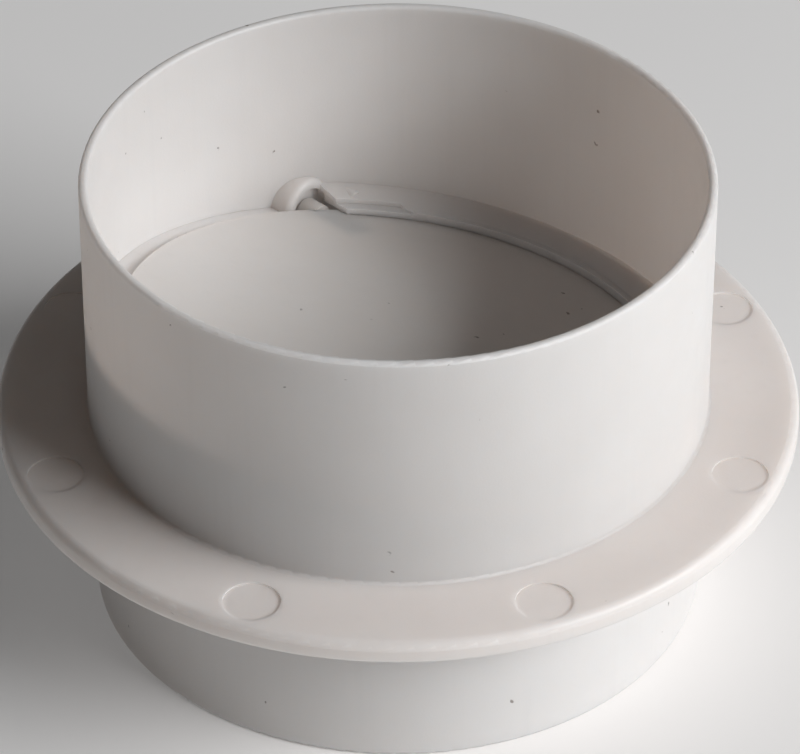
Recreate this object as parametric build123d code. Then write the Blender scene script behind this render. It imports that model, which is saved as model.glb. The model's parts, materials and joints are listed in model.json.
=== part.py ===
"""Flanged round duct spigot with an inclined non-return flap.

The frame's origin is the centre of the lower spigot's open end, with +Z up along the duct.
The flap's hinge axis runs along X, on the +Y side of the duct's axis. Sizes are in millimetres.
"""
from build123d import *
from math import cos, radians, sin, sqrt, tan
import os

# Spigots and flange
UPPER_RADIUS = 50.0
LOWER_RADIUS = 49.6
WALL = 1.5
LOWER_LENGTH = 31.5
FLANGE_THICKNESS = 3.5
UPPER_LENGTH = 42.0
FLANGE_RADIUS = 64.6
RIM_ROUND = 0.6
FLANGE_TOP_ROUND = 1.4
FLANGE_BOTTOM_ROUND = 0.4
ROOT_FILLET = 0.5

# Shallow round ejector marks on the flange's upper face
MARK_COUNT = 8
MARK_RADIUS = 4.5
MARK_DEPTH = 0.3
MARK_CIRCLE_RADIUS = 58.4

# Inclined seat: heights are taken on the duct's axis
SEAT_TILT = 12.0
SEAT_BORE_RADIUS = 42.4
FLAP_TOP = 45.3
FLAP_THICKNESS = 1.4
SEAT_GAP = 0.1
LEDGE_THICKNESS = 2.0
UPPER_LEDGE_TOP = 46.95
THIN_LIP_TOP = 46.45
THIN_LIP_RADIUS = 44.6
LEDGE_RISE = 1.5
LEDGE_SLOPE_WIDTH = 4.9

# Hinge
HINGE_Y = 20.7
HOLE_Z = 40.2
BOSS_RADIUS = 4.9
BOSS_ROUND = 1.0
BOSS_FACE_X = 41.8
HOLE_RADIUS = 3.3
HOLE_END_X = 43.1
PIN_RADIUS = 2.2
PIN_START_X = 30.0
PIN_END_X = 42.85
PIN_FLAT_END_X = 39.2
PIN_CHAMFER = 0.2
PIN_GAP = 0.05
KNUCKLE_RADIUS = 3.4
KNUCKLE_END_X = 36.0

# Where the ledges stop on each side of the hinge
LOWER_LEDGE_END_Y = 17.5
UPPER_LEDGE_START_Y = 23.3
THIN_LIP_END_Y = 31.75

# Small rib on the wall beside each eye, parallel to the hinge axis
RIB_Y = 26.8
RIB_RADIUS = 1.2
RIB_START_X = 37.0

# Flap
FLAP_RADIUS = 44.6
FLAP_EDGE_ROUND = 0.3
NOTCH_RADIUS = 6.4
NOTCH_START_X = 41.4

# Worked out from the sizes above
FLANGE_TOP = LOWER_LENGTH + FLANGE_THICKNESS
TOTAL_HEIGHT = FLANGE_TOP + UPPER_LENGTH
UPPER_BORE = UPPER_RADIUS - WALL
LOWER_BORE = LOWER_RADIUS - WALL
WALL_MIDDLE = UPPER_BORE + 0.4 * WALL
PIN_Z = HOLE_Z - (HOLE_RADIUS - PIN_RADIUS - PIN_GAP)
FLAP_DROP = FLAP_THICKNESS / cos(radians(SEAT_TILT))
LOWER_LEDGE_TOP = FLAP_TOP - FLAP_DROP - SEAT_GAP
UPPER_LEDGE_BOTTOM = FLAP_TOP + SEAT_GAP
REACH = 2 * FLANGE_RADIUS
CLOSE = 0.01


def seat_plane(height):
    """A plane parallel to the flap, at the given height on the duct's axis."""
    normal = (0, sin(radians(SEAT_TILT)), cos(radians(SEAT_TILT)))
    return Plane(origin=(0, 0, height), x_dir=(1, 0, 0), z_dir=normal)


def seat_height(height, y):
    """Height of a seat plane at the given distance along Y."""
    return height - y * tan(radians(SEAT_TILT))


def half_space(height, above):
    """A large block on one side of a seat plane."""
    side = Align.MIN if above else Align.MAX
    return seat_plane(height) * Box(REACH, REACH, REACH, align=(Align.CENTER, Align.CENTER, side))


def y_slab(y_start, y_end):
    """A large block between two distances along Y."""
    middle = (y_start + y_end) / 2
    return Pos(0, middle, TOTAL_HEIGHT / 2) * Box(REACH, y_end - y_start, REACH)


def x_cylinder(radius, x_start, x_end, y, z):
    """A cylinder along X between two distances from the duct's middle plane."""
    middle = (x_start + x_end) / 2
    return Pos(middle, y, z) * Rot(0, 90, 0) * Cylinder(radius, abs(x_end - x_start))


def vertices_at(profile, *places):
    """The profile's corners at the given (radius, height) places."""
    found = []
    for radius, height in places:
        place = Vector(radius, 0, height)
        found.append(min(profile.vertices(), key=lambda vertex: (Vector(vertex) - place).length))
    return found


def duct_shell():
    """Both spigots and the flange, turned from one rounded profile."""
    places = [
        (LOWER_BORE, 0),
        (LOWER_RADIUS, 0),
        (LOWER_RADIUS, LOWER_LENGTH),
        (FLANGE_RADIUS, LOWER_LENGTH),
        (FLANGE_RADIUS, FLANGE_TOP),
        (UPPER_RADIUS, FLANGE_TOP),
        (UPPER_RADIUS, TOTAL_HEIGHT),
        (UPPER_BORE, TOTAL_HEIGHT),
        (UPPER_BORE, FLANGE_TOP),
        (LOWER_BORE, LOWER_LENGTH),
    ]
    rounds = [
        (RIM_ROUND, [places[0], places[1], places[6], places[7]]),
        (FLANGE_BOTTOM_ROUND, [places[3]]),
        (FLANGE_TOP_ROUND, [places[4]]),
        (ROOT_FILLET, [places[2], places[5]]),
    ]
    profile = Plane.XZ * make_face(Polyline(*places, close=True))
    for radius, corners in rounds:
        profile = fillet(vertices_at(profile, *corners), radius)
    return revolve(profile, Axis.Z)


def ejector_marks():
    """Shallow discs sunk into the flange's upper face."""
    mark = Cylinder(MARK_RADIUS, 2 * MARK_DEPTH)
    ring = PolarLocations(MARK_CIRCLE_RADIUS, MARK_COUNT, start_angle=180 / MARK_COUNT)
    return [Pos(0, 0, FLANGE_TOP) * place * mark for place in ring]


def ledge_blank():
    """The ring that the ledges are cut from, reaching into the middle of the wall."""
    outside = Pos(0, 0, TOTAL_HEIGHT / 2) * Cylinder(WALL_MIDDLE, TOTAL_HEIGHT)
    bore = Pos(0, 0, TOTAL_HEIGHT / 2) * Cylinder(SEAT_BORE_RADIUS, TOTAL_HEIGHT)
    return outside - bore


def ledge(bottom, top, y_start, y_end):
    """One stretch of inclined ledge between two seat planes and two distances along Y."""
    layer = half_space(bottom, above=True) & half_space(top, above=False)
    return ledge_blank() & layer & y_slab(y_start, y_end)


def ledges():
    """The flap rests on the lower ledge and closes against the underside of the upper one."""
    lower = ledge(LOWER_LEDGE_TOP - LEDGE_THICKNESS, LOWER_LEDGE_TOP, -FLANGE_RADIUS, LOWER_LEDGE_END_Y)
    upper = ledge(UPPER_LEDGE_BOTTOM, UPPER_LEDGE_TOP, UPPER_LEDGE_START_Y, FLANGE_RADIUS)
    return [lower, upper]


def lip_recess():
    """What thins the upper ledge's lip next to each eye."""
    inside = Pos(0, 0, TOTAL_HEIGHT / 2) * Cylinder(THIN_LIP_RADIUS, TOTAL_HEIGHT)
    return inside & half_space(THIN_LIP_TOP, above=True) & y_slab(HINGE_Y, THIN_LIP_END_Y)


def wall_filler():
    """Everything inside the outer wall's middle, used to end pieces within the wall."""
    return Pos(0, 0, TOTAL_HEIGHT / 2) * Cylinder(WALL_MIDDLE, TOTAL_HEIGHT)


def eye_boss(side):
    """A round boss that stands from the wall towards the flap."""
    boss = x_cylinder(BOSS_RADIUS, side * BOSS_FACE_X, side * UPPER_RADIUS, HINGE_Y, HOLE_Z)
    inner_face = boss.faces().sort_by(Axis.X)[0 if side > 0 else -1]
    return fillet(inner_face.edges(), BOSS_ROUND) & wall_filler()


def eye_hole(side):
    """The blind hole that a hinge pin sits in."""
    start = side * (BOSS_FACE_X - 1)
    return x_cylinder(HOLE_RADIUS, start, side * HOLE_END_X, HINGE_Y, HOLE_Z)


def rib(side):
    """A small half-round rib on the upper ledge, from the wall towards the duct's middle."""
    z = seat_height(UPPER_LEDGE_TOP, RIB_Y)
    blank = x_cylinder(RIB_RADIUS, side * RIB_START_X, side * UPPER_RADIUS, RIB_Y, z)
    return blank & wall_filler() & half_space(UPPER_LEDGE_BOTTOM, above=True)


def slope_upper_ledge(body):
    """Raises the upper ledge gently towards the wall, which leaves a narrow flat lip."""
    plane = seat_plane(UPPER_LEDGE_TOP)
    corner = []
    for edge in body.edges():
        middle = edge.position_at(0.5)
        on_plane = abs((middle - plane.origin).dot(plane.z_dir)) < CLOSE
        on_wall = abs(sqrt(middle.X**2 + middle.Y**2) - UPPER_BORE) < CLOSE
        if on_plane and on_wall:
            corner.append(edge)
    top_faces = [face for face in body.faces() if abs((face.center() - plane.origin).dot(plane.z_dir)) < CLOSE]
    ledge_face = max(top_faces, key=lambda face: face.area)
    return chamfer(corner, LEDGE_SLOPE_WIDTH, LEDGE_RISE, reference=ledge_face)


def housing():
    """The one-piece moulding: spigots, flange, ledges, eyes and ribs."""
    body = duct_shell()
    for piece in ledges():
        body += piece
    body = slope_upper_ledge(body)
    body -= lip_recess()
    for side in (-1, 1):
        body += eye_boss(side)
        body += rib(side)
        body -= eye_hole(side)
    for mark in ejector_marks():
        body -= mark
    return body


def hinge_pin(side):
    """A plain pin, with a flat where it lies under the flap's upper face."""
    pin = x_cylinder(PIN_RADIUS, side * PIN_START_X, side * PIN_END_X, HINGE_Y, PIN_Z)
    outer_end = pin.faces().sort_by(Axis.X)[-1 if side > 0 else 0]
    pin = chamfer(outer_end.edges(), PIN_CHAMFER)
    flat_middle = side * (PIN_START_X + PIN_FLAT_END_X) / 2
    covered = Pos(flat_middle, HINGE_Y, PIN_Z) * Box(PIN_FLAT_END_X - PIN_START_X, REACH, REACH)
    return pin - (half_space(FLAP_TOP - FLAP_THICKNESS / 2, above=True) & covered)


def flap_disc():
    """The thin disc, in the seat's plane, with its edges eased."""
    disc = seat_plane(FLAP_TOP) * Pos(0, 0, -FLAP_THICKNESS / 2) * Cylinder(FLAP_RADIUS, FLAP_THICKNESS)
    return fillet(disc.edges().filter_by(GeomType.CIRCLE), FLAP_EDGE_ROUND)


def flap_knuckle(side):
    """A half-round barrel under the flap that holds one pin."""
    barrel = x_cylinder(KNUCKLE_RADIUS, side * PIN_START_X, side * KNUCKLE_END_X, HINGE_Y, PIN_Z)
    return barrel & half_space(FLAP_TOP - FLAP_THICKNESS / 2, above=False)


def flap():
    """The disc with its knuckles, notched around the eyes and bored for the pins."""
    body = flap_disc()
    for side in (-1, 1):
        body += flap_knuckle(side)
        notch_end = side * FLAP_RADIUS
        body -= x_cylinder(NOTCH_RADIUS, side * NOTCH_START_X, notch_end, HINGE_Y, PIN_Z)
        body -= hinge_pin(side)
    return body


def parts():
    """Every separate piece, by name."""
    return {
        "housing": housing(),
        "flap": flap(),
        "hinge_pin_left": hinge_pin(-1),
        "hinge_pin_right": hinge_pin(1),
    }


os.makedirs("parts", exist_ok=True)
for name, shape in parts().items():
    export_step(shape, f"parts/{name}.step")
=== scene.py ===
"""The finished look of the flanged duct spigot: camera, soft side light and moulded plastic."""
import json
import math

import bpy
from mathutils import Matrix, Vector


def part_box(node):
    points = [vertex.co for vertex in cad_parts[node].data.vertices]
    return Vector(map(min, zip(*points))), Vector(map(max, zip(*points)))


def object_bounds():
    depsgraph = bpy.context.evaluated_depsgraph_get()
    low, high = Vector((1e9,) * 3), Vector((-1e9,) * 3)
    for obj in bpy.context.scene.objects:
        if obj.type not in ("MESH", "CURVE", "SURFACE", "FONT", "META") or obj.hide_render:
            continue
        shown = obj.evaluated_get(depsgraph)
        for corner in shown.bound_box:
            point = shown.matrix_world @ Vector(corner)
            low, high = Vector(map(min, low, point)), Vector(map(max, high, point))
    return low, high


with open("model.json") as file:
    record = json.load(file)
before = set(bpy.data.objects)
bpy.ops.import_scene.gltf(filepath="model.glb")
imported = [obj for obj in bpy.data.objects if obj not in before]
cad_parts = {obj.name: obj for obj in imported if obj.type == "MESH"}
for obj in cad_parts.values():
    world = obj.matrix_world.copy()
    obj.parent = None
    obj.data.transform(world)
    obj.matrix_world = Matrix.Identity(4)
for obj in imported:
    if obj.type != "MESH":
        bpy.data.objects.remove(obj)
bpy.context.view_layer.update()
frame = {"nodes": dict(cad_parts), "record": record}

MM = 0.001
MOUNTS = {mount["name"]: mount for mount in frame["record"]["mounts"]}
SPIGOT_RADIUS = MOUNTS["upper_spigot"]["dims"]["r_mm"] * MM
RIM_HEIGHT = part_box("housing")[1][2]

# Camera: a long lens that looks down into the upper spigot, with the hinge at the back left
VIEW_AZIMUTH = math.radians(45.0)
VIEW_ELEVATION = math.radians(36.67)
VIEW_DISTANCE = 15.625 * SPIGOT_RADIUS
AIM_DROP = 0.635 * SPIGOT_RADIUS
AIM_SHIFT = 0.006 * SPIGOT_RADIUS
SENSOR_WIDTH = 36.0
LENS = 225.0
CLIP_START = 0.01

# Surroundings and floor
SURROUNDINGS_COLOUR = (1.0, 0.985, 0.97)
SURROUNDINGS_STRENGTH = 0.05
FLOOR_SIZE = 12.0
FLOOR_COLOUR = (0.80, 0.79, 0.78)
FLOOR_ROUGHNESS = 0.9
FLOOR_SPECULAR = 0.1
FLOOR_GLOW = 0.11
GLOW_COLOUR = (1.0, 1.0, 1.0)

# Key light: its azimuth turns from the camera's side towards the camera's right
KEY_AZIMUTH = math.radians(66.0)
KEY_ELEVATION = math.radians(31.0)
KEY_DISTANCE = 1.8
KEY_SIZE = (1.3, 0.7)
KEY_POWER = 36.5
KEY_COLOUR = (0.985, 0.99, 1.0)

# Plastic: its colours
HOUSING_COLOUR = (0.735, 0.70, 0.68)
FLAP_COLOUR = (0.71, 0.665, 0.635)
PIN_COLOUR = (0.68, 0.635, 0.60)
SPECK_COLOUR = (0.16, 0.13, 0.11)

# Plastic: the light that passes through it and its gloss
TRANSLUCENCY = 0.75
LIGHT_DEPTH = (1.0, 0.87, 0.79)
LIGHT_REACH = 6.0 * MM
REFRACTIVE_INDEX = 1.46
SPECULAR_LEVEL = 0.45
SMOOTHEST = 0.36
ROUGHEST = 0.5

# Patterns: cells per metre
CLOUD_SCALE = 28.0
STREAK_SCALE = 420.0
CHAFING_SCALE = 500.0
SPECK_SCALE = 150.0
RARITY_SCALE = 900.0
SCUFF_SCALE = 240.0
WAVE_SCALE = 60.0
GRAIN_SCALE = 2600.0

# Patterns: the part of the noise over which each one comes in
CLOUD_BAND = (0.35, 0.65)
STREAK_BAND = (0.55, 0.8)
CHAFING_BAND = (0.42, 0.62)
SPECK_BAND = (0.05, 0.09)
RARITY_BAND = (0.60, 0.65)
SCUFF_BAND = (0.3, 0.7)

# Patterns: how strong each one gets, and the colour's lightness there
CLOUD_DARK = 0.965
CLOUD_WARMTH = 0.006
CLOUD_LIGHT = 1.02
STREAK_STRETCH = 0.05
STREAK_AMOUNT = 0.3
STREAK_DARK = 0.94
RIM_WEAR = 1.5 * MM
CHAFING_AMOUNT = 0.5
CHAFING_LIGHT = 1.07
SPECK_AMOUNT = 0.8

# Relief: its height and how strongly it shows
WAVE_HEIGHT = 0.25 * MM
WAVE_STRENGTH = 0.5
GRAIN_HEIGHT = 0.02 * MM
GRAIN_STRENGTH = 0.6


def view_axes():
    """The camera's forward, right and up directions."""
    flat = Vector((-math.sin(VIEW_AZIMUTH), math.cos(VIEW_AZIMUTH), 0.0))
    forward = flat * math.cos(VIEW_ELEVATION) - Vector((0.0, 0.0, math.sin(VIEW_ELEVATION)))
    right = forward.cross(Vector((0.0, 0.0, 1.0))).normalized()
    return forward, right, right.cross(forward)


def aim_point():
    """Where the camera looks: on the duct's axis, below the rim."""
    right, up = view_axes()[1:]
    return Vector((0.0, 0.0, RIM_HEIGHT)) + right * AIM_SHIFT - up * AIM_DROP


def look_at(thing, target):
    """Turns a camera or lamp so that it faces the target."""
    direction = target - thing.location
    thing.rotation_euler = direction.to_track_quat("-Z", "Y").to_euler()


def make_camera():
    """The long-lens camera at the chosen viewing angle."""
    data = bpy.data.cameras.new("camera")
    data.sensor_width = SENSOR_WIDTH
    data.lens = LENS
    data.clip_start = CLIP_START
    camera = bpy.data.objects.new("camera", data)
    bpy.context.scene.collection.objects.link(camera)
    camera.location = aim_point() - view_axes()[0] * VIEW_DISTANCE
    look_at(camera, aim_point())
    bpy.context.scene.camera = camera


def make_key_light():
    """The one soft rectangular light, at the camera's right."""
    forward, right = view_axes()[:2]
    towards_camera = -Vector((forward.x, forward.y, 0.0)).normalized()
    flat = towards_camera * math.cos(KEY_AZIMUTH) + right * math.sin(KEY_AZIMUTH)
    data = bpy.data.lights.new("key", "AREA")
    data.shape = "RECTANGLE"
    data.size, data.size_y = KEY_SIZE
    data.energy = KEY_POWER
    data.color = KEY_COLOUR
    light = bpy.data.objects.new("key", data)
    bpy.context.scene.collection.objects.link(light)
    target = Vector((0.0, 0.0, RIM_HEIGHT / 2))
    rise = Vector((0.0, 0.0, math.sin(KEY_ELEVATION)))
    light.location = target + (flat * math.cos(KEY_ELEVATION) + rise) * KEY_DISTANCE
    look_at(light, target)


def make_world():
    """Even pale surroundings."""
    world = bpy.data.worlds.new("surroundings")
    world.use_nodes = True
    background = world.node_tree.nodes["Background"]
    background.inputs["Color"].default_value = (*SURROUNDINGS_COLOUR, 1.0)
    background.inputs["Strength"].default_value = SURROUNDINGS_STRENGTH
    bpy.context.scene.world = world


def floor_paper():
    """Matt pale paper that glows a little."""
    material = bpy.data.materials.new("floor_paper")
    material.use_nodes = True
    shader = material.node_tree.nodes["Principled BSDF"]
    shader.inputs["Base Color"].default_value = (*FLOOR_COLOUR, 1.0)
    shader.inputs["Roughness"].default_value = FLOOR_ROUGHNESS
    shader.inputs["Specular IOR Level"].default_value = FLOOR_SPECULAR
    shader.inputs["Emission Color"].default_value = (*GLOW_COLOUR, 1.0)
    shader.inputs["Emission Strength"].default_value = FLOOR_GLOW
    return material


def make_floor():
    """A plain floor under the lower spigot."""
    bpy.ops.mesh.primitive_plane_add(size=FLOOR_SIZE, location=(0.0, 0.0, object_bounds()[0][2]))
    floor = bpy.context.object
    floor.name = "floor"
    floor.data.materials.append(floor_paper())


def set_look():
    """Plain display colours, so that white stays white."""
    bpy.context.scene.view_settings.view_transform = "Standard"


class Nodes:
    """Short calls for building one material's nodes."""

    def __init__(self, name):
        """A new material, its shader and the part's own coordinates."""
        self.material = bpy.data.materials.new(name)
        self.material.use_nodes = True
        self.tree = self.material.node_tree
        self.shader = self.tree.nodes["Principled BSDF"]
        self.place = self.tree.nodes.new("ShaderNodeTexCoord").outputs["Object"]

    def link(self, output, target):
        """Joins an output to an input."""
        self.tree.links.new(output, target)

    def noise(self, scale, detail, roughness=0.5, place=None):
        """Soft random clouds, with values from 0 to 1."""
        node = self.tree.nodes.new("ShaderNodeTexNoise")
        node.inputs["Scale"].default_value = scale
        node.inputs["Detail"].default_value = detail
        node.inputs["Roughness"].default_value = roughness
        self.link(place or self.place, node.inputs["Vector"])
        return node.outputs["Fac"]

    def stretched(self, along_duct):
        """The place, squeezed along the duct, so that a pattern runs in lines up the walls."""
        node = self.tree.nodes.new("ShaderNodeMapping")
        node.inputs["Scale"].default_value = (1.0, 1.0, along_duct)
        self.link(self.place, node.inputs["Vector"])
        return node.outputs["Vector"]

    def height(self):
        """The height along the duct, in the part's own coordinates."""
        node = self.tree.nodes.new("ShaderNodeSeparateXYZ")
        self.link(self.place, node.inputs["Vector"])
        return node.outputs["Z"]

    def specks(self, scale):
        """The distance to the nearest of many scattered points, in cells."""
        node = self.tree.nodes.new("ShaderNodeTexVoronoi")
        node.inputs["Scale"].default_value = scale
        self.link(self.place, node.inputs["Vector"])
        return node.outputs["Distance"]

    def span(self, value, band, new_low, new_high):
        """The value's part inside the band, stretched to run from new_low to new_high."""
        low, high = band
        node = self.tree.nodes.new("ShaderNodeMapRange")
        node.inputs["From Min"].default_value = low
        node.inputs["From Max"].default_value = high
        node.inputs["To Min"].default_value = new_low
        node.inputs["To Max"].default_value = new_high
        self.link(value, node.inputs["Value"])
        return node.outputs["Result"]

    def times(self, first, second):
        """The product of two values."""
        node = self.tree.nodes.new("ShaderNodeMath")
        node.operation = "MULTIPLY"
        self.link(first, node.inputs[0])
        self.link(second, node.inputs[1])
        return node.outputs["Value"]

    def mix(self, factor, first, second):
        """The first colour where the factor is 0, and the second where it is 1."""
        node = self.tree.nodes.new("ShaderNodeMix")
        node.data_type = "RGBA"
        self.link(factor, node.inputs["Factor"])
        for colour, socket in ((first, node.inputs["A"]), (second, node.inputs["B"])):
            if isinstance(colour, tuple):
                socket.default_value = (*colour, 1.0)
            else:
                self.link(colour, socket)
        return node.outputs["Result"]

    def bump(self, height, distance, strength, normal=None):
        """Relief that follows the height, on top of any relief already there."""
        node = self.tree.nodes.new("ShaderNodeBump")
        node.inputs["Distance"].default_value = distance
        node.inputs["Strength"].default_value = strength
        self.link(height, node.inputs["Height"])
        if normal:
            self.link(normal, node.inputs["Normal"])
        return node.outputs["Normal"]


def tint(colour, amount, warmth=0.0):
    """The colour made lighter or darker, and warmer or cooler."""
    red, green, blue = colour
    return (red * (amount + warmth), green * amount, blue * (amount - warmth))


def clouded(nodes, colour):
    """The plastic's colour with faint clouding."""
    clouds = nodes.noise(CLOUD_SCALE, detail=4.0)
    amount = nodes.span(clouds, CLOUD_BAND, 0.0, 1.0)
    return nodes.mix(amount, tint(colour, CLOUD_DARK, CLOUD_WARMTH), tint(colour, CLOUD_LIGHT))


def with_drag_lines(nodes, base, colour):
    """Adds faint darker lines along the duct, as drawing off the mould leaves."""
    streaks = nodes.noise(STREAK_SCALE, detail=3.0, place=nodes.stretched(STREAK_STRETCH))
    amount = nodes.span(streaks, STREAK_BAND, 0.0, STREAK_AMOUNT)
    return nodes.mix(amount, base, tint(colour, STREAK_DARK))


def with_chafed_rim(nodes, base, colour):
    """Adds a rim that is rubbed lighter in places."""
    near_rim = nodes.span(nodes.height(), (RIM_HEIGHT - RIM_WEAR, RIM_HEIGHT), 0.0, 1.0)
    rubbing = nodes.noise(CHAFING_SCALE, detail=5.0, roughness=0.65)
    amount = nodes.span(rubbing, CHAFING_BAND, 0.0, CHAFING_AMOUNT)
    return nodes.mix(nodes.times(near_rim, amount), base, tint(colour, CHAFING_LIGHT))


def with_specks(nodes, base):
    """Adds sparse dark specks."""
    dot = nodes.span(nodes.specks(SPECK_SCALE), SPECK_BAND, 1.0, 0.0)
    rarity = nodes.noise(RARITY_SCALE, detail=1.0)
    amount = nodes.span(rarity, RARITY_BAND, 0.0, SPECK_AMOUNT)
    return nodes.mix(nodes.times(dot, amount), base, SPECK_COLOUR)


def relief(nodes):
    """Slow waviness with fine grain on it."""
    waviness = nodes.bump(nodes.noise(WAVE_SCALE, detail=2.0), WAVE_HEIGHT, WAVE_STRENGTH)
    grain = nodes.noise(GRAIN_SCALE, detail=2.0)
    return nodes.bump(grain, GRAIN_HEIGHT, GRAIN_STRENGTH, normal=waviness)


def moulded_plastic(name, colour):
    """Satin injection-moulded plastic that lets some light through."""
    nodes = Nodes(name)
    base = clouded(nodes, colour)
    base = with_drag_lines(nodes, base, colour)
    base = with_chafed_rim(nodes, base, colour)
    base = with_specks(nodes, base)
    nodes.link(base, nodes.shader.inputs["Base Color"])
    scuffs = nodes.noise(SCUFF_SCALE, detail=6.0, roughness=0.7)
    nodes.link(nodes.span(scuffs, SCUFF_BAND, SMOOTHEST, ROUGHEST), nodes.shader.inputs["Roughness"])
    nodes.link(relief(nodes), nodes.shader.inputs["Normal"])
    nodes.shader.inputs["IOR"].default_value = REFRACTIVE_INDEX
    nodes.shader.inputs["Specular IOR Level"].default_value = SPECULAR_LEVEL
    nodes.shader.inputs["Subsurface Weight"].default_value = TRANSLUCENCY
    nodes.shader.inputs["Subsurface Radius"].default_value = LIGHT_DEPTH
    nodes.shader.inputs["Subsurface Scale"].default_value = LIGHT_REACH
    return nodes.material


def paint(node, material):
    """Gives every slot of a carried-over part its finished material."""
    piece = frame["nodes"][node]
    for slot in piece.material_slots:
        slot.material = material


make_camera()
set_look()
make_world()
make_floor()
make_key_light()

paint("housing", moulded_plastic("housing_plastic_finish", HOUSING_COLOUR))
paint("flap", moulded_plastic("flap_plastic_finish", FLAP_COLOUR))
PIN_PLASTIC = moulded_plastic("pin_plastic_finish", PIN_COLOUR)
for pin in ("hinge_pin_left", "hinge_pin_right"):
    paint(pin, PIN_PLASTIC)
